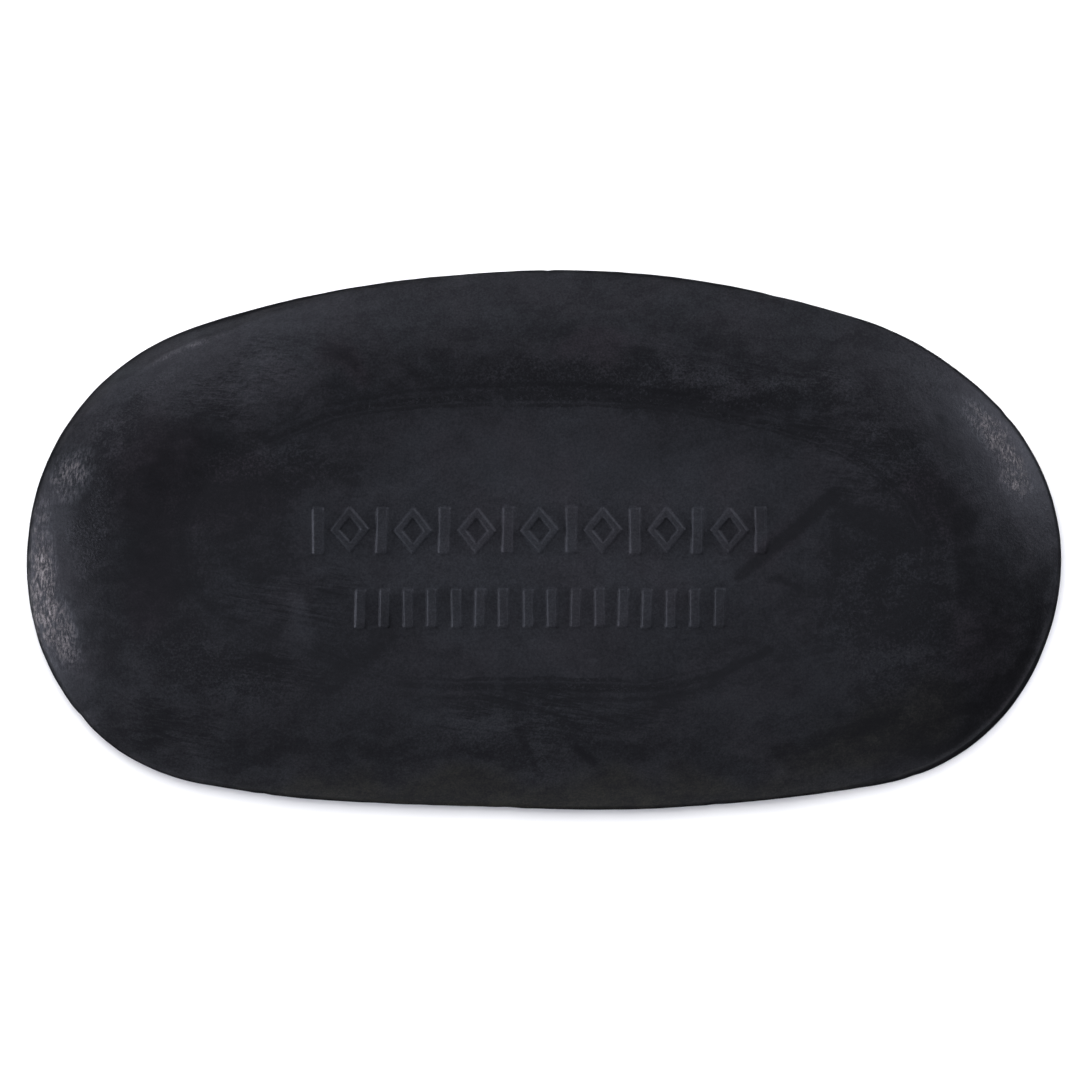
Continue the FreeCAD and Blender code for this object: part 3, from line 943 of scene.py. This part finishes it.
def rubber_material():
    """Matt black rubber: grey bloom, wiped streaks, stippled grain, scratches and pale scuffs, with
    painted highlights, sheen and shade.
    """
    rubber = Rubber("matt_black_rubber")
    maths, ranged, noise_of = rubber.maths, rubber.ranged, rubber.noise
    grit = maths("MAXIMUM", rubber.at_vertex("grit"), 0.02)

    cloud = noise_of(9, 6, 0.65)
    mottle = noise_of(2.2, 6, 0.68, seed=3)
    wiped = ranged(noise_of(3.0, 5, 0.6, turn=12, stretch=2.0, seed=61), 0.46, 0.54)
    speckle = noise_of(0.32, 3, 0.75, seed=9)
    grain = noise_of(0.2, 2, 0.6, seed=5)
    hue = noise_of(6, 2, 0.5, seed=31)

    # Painted shade of the crease: thin, broken, pencil-like dark lines beside and on it, darkest where
    # its groove is deepest.
    from_crease, creased = rubber.at_vertex("from_crease"), rubber.at_vertex("creased")
    wander = noise_of(4, 3, 0.6, seed=14)
    lines = rubber.line(from_crease, 0.0, 0.65, wander)
    inner = maths("MULTIPLY", rubber.line(from_crease, 0.9, 0.3, mottle), 0.7)
    outer = maths("MULTIPLY", rubber.line(from_crease, -1.3, 0.35, mottle), 0.35)
    lines = maths("MAXIMUM", maths("MAXIMUM", lines, inner), outer)
    lines = maths("MULTIPLY", lines, ranged(speckle, 0.4, 0.52))
    lines = maths("MULTIPLY", lines, ranged(noise_of(3.4, 3, 0.6, seed=17), 0.32, 0.5))
    lines = maths("MULTIPLY", lines, creased)

    # Fine scratches, some rubbed pale and some cut dark.
    pale = ranged(noise_of(0.26, 3, 0.6, turn=-6, stretch=20, seed=12), 0.5, 0.62)
    dark = ranged(noise_of(0.3, 3, 0.6, turn=-12, stretch=16, seed=26), 0.5, 0.62)
    crossing = ranged(noise_of(0.24, 3, 0.6, turn=50, stretch=16, seed=47), 0.56, 0.66)
    scratch = maths("SUBTRACT", maths("MAXIMUM", pale, crossing), dark)
    scratched = rubber.at_vertex("scratched")
    scratch = maths("MULTIPLY", scratch, maths("ADD", scratched, 0.06))
    wisps = noise_of(0.75, 6, 0.75, turn=8, stretch=5, seed=53)

    streaks = noise_of(0.24, 5, 0.8, turn=84, stretch=3.0, seed=2)
    patchy = noise_of(1.3, 4, 0.7, seed=40)
    # Pale scuffs, with the painted highlight on the upper-left ridge.
    scuff_and_highlight = rubber.at_vertex("scuff_and_highlight")
    scuff_and_highlight = maths("MULTIPLY", scuff_and_highlight, ranged(streaks, 0.4, 0.6))
    scuff_and_highlight = maths("MULTIPLY", scuff_and_highlight, ranged(patchy, 0.3, 0.6, 0.25, 1.0))
    scuff_and_highlight = maths("POWER", scuff_and_highlight, 1.4)
    # Pale rim arris and mark edges: partly wear, partly a painted highlight, broken up by noise.
    edge_breakup = ranged(noise_of(1.1, 5, 0.75, seed=6), 0.35, 0.7)
    wear_and_glint = maths("MULTIPLY", rubber.at_vertex("wear_and_glint"), edge_breakup)

    # Tone runs from dark, below 0, to pale, above 0: wiped rubber and painted shade below, grey bloom,
    # painted sheen and painted highlights above.
    tone = maths("ADD", rubber.at_vertex("tone"), rubber.centred(cloud, TONE_CLOUD))
    tone = maths("ADD", tone, rubber.centred(mottle, TONE_MOTTLE))
    wiped = maths("MULTIPLY", rubber.centred(wiped, TONE_WIPED), maths("ADD", grit, 0.3))
    tone = maths("ADD", tone, wiped)
    wisps = maths("MULTIPLY", rubber.centred(wisps, TONE_WISPS), maths("ADD", scratched, 0.15))
    tone = maths("ADD", tone, wisps)
    coarse = maths("MULTIPLY", rubber.centred(speckle, TONE_SPECKLE), maths("ADD", grit, 0.15))
    tone = maths("ADD", tone, coarse)
    fine = maths("MULTIPLY", rubber.centred(grain, TONE_GRAIN), maths("ADD", grit, 0.3))
    tone = maths("ADD", tone, fine)
    # Painted shade of the crease darkens the tone.
    tone = maths("MULTIPLY_ADD", lines, CREASE_PAINTED_SHADE, tone)
    tone = maths("MULTIPLY_ADD", scratch, TONE_SCRATCH, tone)
    shade = maths("EXPONENT", maths("MULTIPLY", maths("MINIMUM", tone, 0.0), DARK_FALL))
    shade = maths("MULTIPLY", shade, SHADE)
    shade = maths("MULTIPLY_ADD", maths("MAXIMUM", tone, 0.0), SHADE_STEP, shade)
    shade = maths("MULTIPLY", shade, ranged(grain, 0.3, 0.7, 0.8, 1.2))
    shade = maths("MULTIPLY_ADD", scuff_and_highlight, SCUFF_AND_HIGHLIGHT_SHADE, shade)
    shade = maths("MULTIPLY_ADD", wear_and_glint, WEAR_AND_GLINT_SHADE, shade)

    # Cool black, yellowish or rosy in places, faintly pink where it is scuffed and on the painted ridge
    # highlight.
    tint = rubber.mixed(ranged(hue, 0.35, 0.65), WARM_BLACK, COOL_BLACK)
    tint = rubber.mixed(maths("MAXIMUM", rubber.at_vertex("hue"), 0.0), tint, YELLOWISH)
    rosy = maths("MAXIMUM", maths("MULTIPLY", rubber.at_vertex("hue"), -1.0), 0.0)
    tint = rubber.mixed(rosy, tint, ROSY)
    tint = rubber.mixed(ranged(scuff_and_highlight, 0.0, 0.4), tint, SCUFF_AND_HIGHLIGHT_TINT)
    colour = add(rubber.tree, "ShaderNodeVectorMath", {0: tint, "Scale": shade}, operation="SCALE")

    # The dusty surface hardly mirrors at a glancing angle.
    glancing = add(rubber.tree, "ShaderNodeLayerWeight", {"Blend": 0.5}, output="Facing")
    gloss = ranged(glancing, *GLANCING, GLOSS, GLANCING_GLOSS)
    rough = maths("ADD", rubber.centred(mottle, 0.06), ROUGHNESS)
    rough = maths("MULTIPLY_ADD", rubber.at_vertex("tone"), 0.03, rough)
    rough = maths("MULTIPLY_ADD", scuff_and_highlight, 0.15, rough, clamp=True)
    rough = maths("ADD", rough, ranged(glancing, *GLANCING, 0.0, GLANCING_ROUGHNESS), clamp=True)

    height = maths("MULTIPLY", grain, GRAIN_HEIGHT)
    bumpy = maths("MULTIPLY", speckle, maths("MULTIPLY_ADD", grit, GRIT_HEIGHT, SPECKLE_HEIGHT))
    height = maths("ADD", height, bumpy)
    height = maths("MULTIPLY_ADD", mottle, MOTTLE_HEIGHT, height)
    height = maths("MULTIPLY_ADD", maths("ABSOLUTE", scratch), SCRATCH_HEIGHT, height)
    height = maths("MULTIPLY_ADD", lines, LINE_HEIGHT, height)
    height = maths("MULTIPLY_ADD", scuff_and_highlight, SCUFF_HEIGHT, height)
    inputs = {"Height": height, "Distance": MM, "Strength": 1.0}
    normal = add(rubber.tree, "ShaderNodeBump", inputs)
    inputs = {
        "Base Color": colour,
        "Roughness": rough,
        "Normal": normal,
        "Specular IOR Level": gloss,
    }
    shader = add(rubber.tree, "ShaderNodeBsdfPrincipled", inputs)
    add(rubber.tree, "ShaderNodeOutputMaterial", {"Surface": shader})
    return rubber.material


# ---------------------------------------------------------------- studio

FLOOR_HALF = 3.0
FLOOR_GAP = 0.02
COVE_START = 0.3
COVE_BEND = 2.5
COVE_RADIUS = 0.8
COVE_TOP = 3.0
COVE_STEPS = 8
COVE_SIDES = 48
CAMERA_HEIGHT = 1.0
SENSOR = 36.0
# The rib spans this share of the picture's width, a little right of its middle.
SPAN_IN_PICTURE = 43 / 45
MIDDLE_RIGHT = 1 / 270
COOL_WHITE = (0.955, 0.98, 1.19)
LIGHT_DISTANCE = 0.9
WORLD_GLOW = 0.07
# Each softbox: bearing and elevation in degrees, size in metres, strength on the rib.
SOFTBOXES = {
    "left_light": (188, 10, (0.5, 0.28), 1.1),
    "right_light": (30, 15, (0.5, 0.34), 0.85),
    "upper_left_light": (122, 13, (0.5, 0.3), 0.4),
    "top_light": (92, 25, (0.9, 0.3), 0.17),
    "low_light": (270, 10, (0.9, 0.28), 0.22),
    "overhead_light": (265, 76, (1.0, 1.0), 0.45),
}
TABLE_LIGHT = (104, 66, (1.0, 1.0), 5.9, (1, 1, 1))


def make_floor(level):
    """A plain white table under the rib."""
    side = FLOOR_HALF
    corners = [(-side, -side, level), (side, -side, level), (side, side, level), (-side, side, level)]
    floor = new_object("floor", corners, [(0, 1, 2, 3)])
    material = bpy.data.materials.new("white_table")
    material.use_nodes = True
    shader = material.node_tree.nodes["Principled BSDF"]
    shader.inputs["Base Color"].default_value = (0.9, 0.9, 0.9, 1)
    shader.inputs["Roughness"].default_value = 0.9
    shader.inputs["Specular IOR Level"].default_value = 0.1
    floor.data.materials.append(material)
    floor.visible_glossy = False
    return floor


def make_backdrop(level):
    """A white cove round the table, seen by the camera alone."""
    profile = [(COVE_START, level), (COVE_BEND - COVE_RADIUS, level)]
    for step in range(1, COVE_STEPS + 1):
        turn = math.radians(90) * step / COVE_STEPS
        bend = math.sin(turn), 1 - math.cos(turn)
        profile.append((COVE_BEND + COVE_RADIUS * (bend[0] - 1), level + COVE_RADIUS * bend[1]))
    profile.append((COVE_BEND, COVE_TOP))
    vertices, faces = [], []
    for radius, height in profile:
        for place in range(COVE_SIDES):
            bearing = math.tau * place / COVE_SIDES
            vertices.append((radius * math.cos(bearing), radius * math.sin(bearing), height))
    for ring in range(len(profile) - 1):
        for place in range(COVE_SIDES):
            here = ring * COVE_SIDES + place
            following = ring * COVE_SIDES + (place + 1) % COVE_SIDES
            faces.append((here, following, following + COVE_SIDES, here + COVE_SIDES))
    backdrop = new_object("backdrop", vertices, faces)
    material = bpy.data.materials.new("white_backdrop")
    material.use_nodes = True
    material.node_tree.nodes.clear()
    glow = add(material.node_tree, "ShaderNodeEmission", {"Color": (1, 1, 1, 1), "Strength": 1.0})
    add(material.node_tree, "ShaderNodeOutputMaterial", {"Surface": glow})
    backdrop.data.materials.append(material)
    backdrop.visible_diffuse = False
    backdrop.visible_glossy = False
    backdrop.visible_shadow = False


def make_softbox(name, bearing, elevation, size, strength, colour=COOL_WHITE):
    """A soft light that faces the rib from a bearing and an elevation in degrees."""
    light = bpy.data.lights.new(name, "AREA")
    light.shape = "RECTANGLE"
    light.size, light.size_y = size
    light.energy = strength * math.pi * LIGHT_DISTANCE**2
    light.color = colour
    box = bpy.data.objects.new(name, light)
    around_z, up = math.radians(bearing), math.radians(elevation)
    away = Vector((math.cos(around_z) * math.cos(up), math.sin(around_z) * math.cos(up), math.sin(up)))
    box.location = away * LIGHT_DISTANCE
    box.rotation_mode = "QUATERNION"
    box.rotation_quaternion = away.to_track_quat("Z", "Y")
    bpy.context.collection.objects.link(box)
    return box


def light_only(light, thing):
    """Let a light fall on one thing alone; everything still throws its shadow."""
    receivers = bpy.data.collections.new(light.name + "_receivers")
    receivers.objects.link(thing)
    light.light_linking.receiver_collection = receivers


def make_world():
    """A faint even glow."""
    world = bpy.data.worlds.new("studio")
    bpy.context.scene.world = world
    world.use_nodes = True
    background = world.node_tree.nodes["Background"]
    background.inputs["Color"].default_value = (*COOL_WHITE, 1)
    background.inputs["Strength"].default_value = WORLD_GLOW


def make_camera(low, high):
    """A long lens straight above, framed on the rib."""
    data = bpy.data.cameras.new("camera")
    camera = bpy.data.objects.new("camera", data)
    bpy.context.collection.objects.link(camera)
    frame_width = (high.x - low.x) / SPAN_IN_PICTURE
    middle = (low + high) / 2
    data.sensor_width = SENSOR
    data.lens = SENSOR * (CAMERA_HEIGHT - low.z) / frame_width
    data.clip_start, data.clip_end = 0.01, 20
    camera.location = (middle.x - MIDDLE_RIGHT * frame_width, middle.y, CAMERA_HEIGHT)
    bpy.context.scene.camera = camera


rib = make_rib()
rib.data.materials.append(rubber_material())
floor = make_floor(cad_low.z - FLOOR_GAP * MM)
make_backdrop(cad_low.z + FLOOR_GAP * MM)
make_world()
for name, (bearing, elevation, size, strength) in SOFTBOXES.items():
    make_softbox(name, bearing, elevation, size, strength)
light_only(make_softbox("table_light", *TABLE_LIGHT), floor)
make_camera(cad_low, cad_high)
bpy.context.scene.view_settings.view_transform = "Standard"

bpy.context.view_layer.update()
